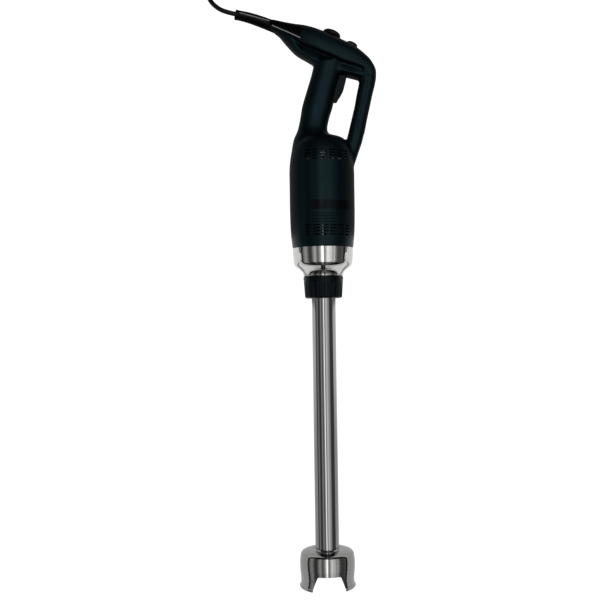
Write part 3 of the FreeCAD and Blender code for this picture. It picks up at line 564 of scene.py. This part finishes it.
def vent_cutters():
    """Slots through the wall, in four rows at each end of the barrel, front and rear."""
    first, last, columns, rib = -34.0, 57.0, 6, 1.5
    step = (last - first) / columns
    cutters = []
    for lowest, pitch in ((534.5, 4.5), (646.2, 4.33)):
        for row in range(4):
            z = lowest + pitch * row
            for column in range(columns):
                start, end = first + step * column + rib, first + step * (column + 1) - rib
                for a, b in ((start, end), (180 - end, 180 - start)):
                    cutters.append(sector(BARREL_RADIUS + 2, BARREL_RADIUS - WALL - 5, z - 1.2, z + 1.2,
                                          a, b))
    return cutters


def groove_cutters():
    return [sector(BARREL_RADIUS + 2, BARREL_RADIUS - 1.0, z - 0.7, z + 0.7, -22, 26, 12)
            for z in (553, 557, 561, 565)]


def rear_surface(skin, x, z):
    hit = skin.ray_cast(at(x, 90, z), (TOOL.to_3x3() @ Vector((0, -1, 0))).normalized())
    return (TOOL.inverted() @ hit[1]).y


def screw_sinks(skin):
    sinks = []
    for x, z in SCREW_PLACES:
        bottom = rear_surface(skin, x, z) - 3.6
        place = Matrix.Translation((x, bottom, z)) @ Matrix.Rotation(math.radians(-90), 4, "X")
        sinks.append(lathe("sink", [(0, 0), (3.5, 0), (3.5, 20), (0, 20)], 32, place))
    return sinks


def copy_of(obj, name):
    twin = obj.copy()
    twin.data = obj.data.copy()
    twin.name = name
    bpy.context.scene.collection.objects.link(twin)
    return twin


def swell(obj, distance):
    """Moves the surface outwards by a distance in millimetres."""
    step = obj.modifiers.new("swell", "DISPLACE")
    step.mid_level, step.strength = 0.0, distance / 1000
    apply_modifiers(obj)


def block(name, low, high):
    corners = [(x, y, z) for x in (low[0], high[0]) for y in (low[1], high[1]) for z in (low[2], high[2])]
    return mesh_object(name, corners, [(0, 1, 3, 2), (4, 6, 7, 5), (0, 4, 5, 1), (2, 3, 7, 6),
                                       (0, 2, 6, 4), (1, 5, 7, 3)])


def boot_sleeve():
    """Strain relief round the cord: a bent sleeve with a thicker lip at its free end."""
    stations = smooth_stations(BOOT, 8)
    rings = []
    for k, (x, z, radius) in enumerate(stations):
        before, after = stations[max(k - 1, 0)], stations[min(k + 1, len(stations) - 1)]
        along = Vector((after[0] - before[0], 0, after[1] - before[1])).normalized()
        side = Vector((0, 1, 0)).cross(along)
        lip = 0.7 if k < 2 else 0.0
        middle, out = Vector((x, 0, z)), Vector((0, 1, 0))
        rings.append([middle + (side * math.cos(a) + out * math.sin(a)) * (radius + lip)
                      for a in (2 * math.pi * n / 48 for n in range(48))])
    return loft("sleeve", rings)


def make_boot(outer):
    boot = copy_of(outer, "strain_relief_boot")
    boolean(boot, slab("zone", BOOT_ROOT_EDGE, 60), "INTERSECT")
    swell(boot, 0.5)
    bead = copy_of(outer, "bead")
    (left, low), (right, high) = BOOT_ROOT_EDGE[:2]
    band = [(left, low - 0.9), (right, high - 0.9), (right, high + 0.9), (left, low + 0.9)]
    boolean(bead, slab("zone", band, 60), "INTERSECT")
    swell(bead, 1.5)
    boolean(boot, bead, "UNION")
    boolean(boot, boot_sleeve(), "UNION")
    remesh(boot, 0.8)
    smooth(boot, 4)
    return finish_piece(boot, "motor_body", "boot_rubber", "cord_boot")


def cut_controls(obj):
    """Seats and holes of the dial and the lock button."""
    x, z, radius, lean = DIAL
    seat = [(0, -20), (4.2, -20), (4.2, 0), (radius + 0.6, 0), (radius + 0.6, 20), (0, 20)]
    boolean(obj, lathe("seat", seat, 96, leaning(x, z, lean)))
    x, z, radius = BUTTON
    boolean(obj, lathe("hole", [(0, -20), (radius + 0.3, -20), (radius + 0.3, 20), (0, 20)], 64,
                       leaning(x, z, HEAD_SLOPE)))


def make_cover(outer, core, boot):
    """Cover of the head and of the D bar's outer side; it stands a little proud of the shells."""
    cover = copy_of(outer, "top_cover")
    swell(cover, 0.5)
    boolean(cover, slab("zone", COVER_EDGE, 60), "INTERSECT")
    boolean(cover, core, keep_tool=True)
    remesh(cover, 0.8)
    smooth(cover, 3)
    boolean(cover, boot, keep_tool=True)
    cut_controls(cover)
    return finish_piece(cover, "motor_body", "cover", "head_cover")


def make_housing():
    outer = moulded_union("outer", 0.0, 1.3)
    core = moulded_union("core", WALL, 2.2)
    boot = make_boot(outer)
    make_cover(outer, core, boot)
    front = outer
    front.name = "front_shell"
    boolean(front, join("sinks", screw_sinks(front)))
    boolean(front, core)
    boolean(front, join("vents", vent_cutters()))
    boolean(front, join("grooves", groove_cutters()))
    boolean(front, slab("window", TRIGGER_WINDOW, 8.3))
    boolean(front, slab("zone", COVER_EDGE, 60))
    boolean(front, boot, keep_tool=True)
    rear = copy_of(front, "rear_shell")
    boolean(front, block("half", (-200, -0.1, 0), (200, 100, 1000)))
    boolean(rear, block("half", (-200, -100, 0), (200, 0.1, 1000)))
    finish_piece(front, "motor_body", "moulded", "housing_front_shell")
    finish_piece(rear, "motor_body", "moulded", "housing_rear_shell")


# ---- stage ----------------------------------------------------------------------------------------
def make_stage():
    floor = mesh_object("floor", [(-3000, -3000, 0), (3000, -3000, 0), (3000, 3000, 0), (-3000, 3000, 0)],
                        [(0, 1, 2, 3)], TOOL.inverted() @ Matrix.Scale(0.001, 4))
    material, tree, shader = new_material("paper", (0.3, 0.3, 0.3), 0.9)
    shader.inputs["Specular IOR Level"].default_value = 0.0
    shader.inputs["Emission Color"].default_value = (1, 1, 1, 1)
    place = tree.nodes.new("ShaderNodeTexCoord")
    split = tree.nodes.new("ShaderNodeSeparateXYZ")
    tree.links.new(place.outputs["Object"], split.inputs["Vector"])
    glow = tree.nodes.new("ShaderNodeFloatCurve")
    along = tree.nodes.new("ShaderNodeMapRange")
    along.inputs["From Min"].default_value, along.inputs["From Max"].default_value = FLAGS[0][0], FLAGS[-1][0]
    tree.links.new(split.outputs["Y"], along.inputs["Value"])
    tree.links.new(along.outputs["Result"], glow.inputs["Value"])
    curve = glow.mapping.curves[0]
    for y, level in FLAGS[1:-1]:
        curve.points.new((y - FLAGS[0][0]) / (FLAGS[-1][0] - FLAGS[0][0]), level)
    curve.points[0].location = (0, FLAGS[0][1])
    curve.points[-1].location = (1, FLAGS[-1][1])
    for point in curve.points:
        point.handle_type = "VECTOR"
    glow.mapping.update()
    path = tree.nodes.new("ShaderNodeLightPath")
    seen = tree.nodes.new("ShaderNodeMath")
    seen.operation = "MAXIMUM"
    tree.links.new(path.outputs["Is Camera Ray"], seen.inputs[0])
    tree.links.new(glow.outputs["Value"], seen.inputs[1])
    tree.links.new(seen.outputs["Value"], shader.inputs["Emission Strength"])
    floor.data.materials.append(material)

    make_room()
    bpy.context.scene.view_settings.view_transform = "Standard"


def make_room():
    """Studio of long soft strips overhead, dark past their ends and towards the walls.

    The camera itself sees pale grey."""
    world = bpy.data.worlds.new("studio")
    bpy.context.scene.world = world
    world.use_nodes = True
    tree = world.node_tree
    nodes, links = tree.nodes, tree.links
    place = nodes.new("ShaderNodeTexCoord")
    split = nodes.new("ShaderNodeSeparateXYZ")
    links.new(place.outputs["Generated"], split.inputs["Vector"])
    angle = nodes.new("ShaderNodeMath")
    angle.operation = "ARCTAN2"
    links.new(split.outputs["X"], angle.inputs[0])
    links.new(split.outputs["Z"], angle.inputs[1])
    turn = nodes.new("ShaderNodeMapRange")
    turn.inputs["From Min"].default_value, turn.inputs["From Max"].default_value = -math.pi, math.pi
    links.new(angle.outputs["Value"], turn.inputs["Value"])
    ramp = nodes.new("ShaderNodeValToRGB")
    elements = ramp.color_ramp.elements
    while len(elements) < len(ROOM):
        elements.new(0.5)
    for element, (degrees, level) in zip(elements, ROOM):
        element.position = degrees / 360 + 0.5
        element.color = (*[level / ROOM_PEAK] * 3, 1)
    links.new(turn.outputs["Result"], ramp.inputs["Fac"])
    fade = nodes.new("ShaderNodeMapRange")
    fade.interpolation_type = "SMOOTHSTEP"
    fade.inputs["From Max"].default_value = 0.22
    fade.inputs["To Min"].default_value, fade.inputs["To Max"].default_value = 0.1 * ROOM_PEAK, ROOM_PEAK
    links.new(split.outputs["Z"], fade.inputs["Value"])
    aside = nodes.new("ShaderNodeMath")
    aside.operation = "ABSOLUTE"
    links.new(split.outputs["Y"], aside.inputs[0])
    ends = nodes.new("ShaderNodeMapRange")
    ends.interpolation_type = "SMOOTHSTEP"
    ends.inputs["From Min"].default_value, ends.inputs["From Max"].default_value = 0.38, 0.62
    ends.inputs["To Min"].default_value, ends.inputs["To Max"].default_value = 1.0, 0.12
    links.new(aside.outputs["Value"], ends.inputs["Value"])
    level = nodes.new("ShaderNodeMath")
    level.operation = "MULTIPLY"
    links.new(fade.outputs["Result"], level.inputs[0])
    links.new(ends.outputs["Result"], level.inputs[1])
    room = nodes["Background"]
    links.new(ramp.outputs["Color"], room.inputs["Color"])
    links.new(level.outputs["Value"], room.inputs["Strength"])
    backdrop = nodes.new("ShaderNodeBackground")
    backdrop.inputs["Color"].default_value = (0.86, 0.86, 0.86, 1)
    path = nodes.new("ShaderNodeLightPath")
    choose = nodes.new("ShaderNodeMixShader")
    links.new(path.outputs["Is Camera Ray"], choose.inputs["Fac"])
    links.new(room.outputs["Background"], choose.inputs[1])
    links.new(backdrop.outputs["Background"], choose.inputs[2])
    links.new(choose.outputs["Shader"], nodes["World Output"].inputs["Surface"])


make_camera()
make_cord()
make_tie()
paint_nodes()
make_housing()
make_stage()
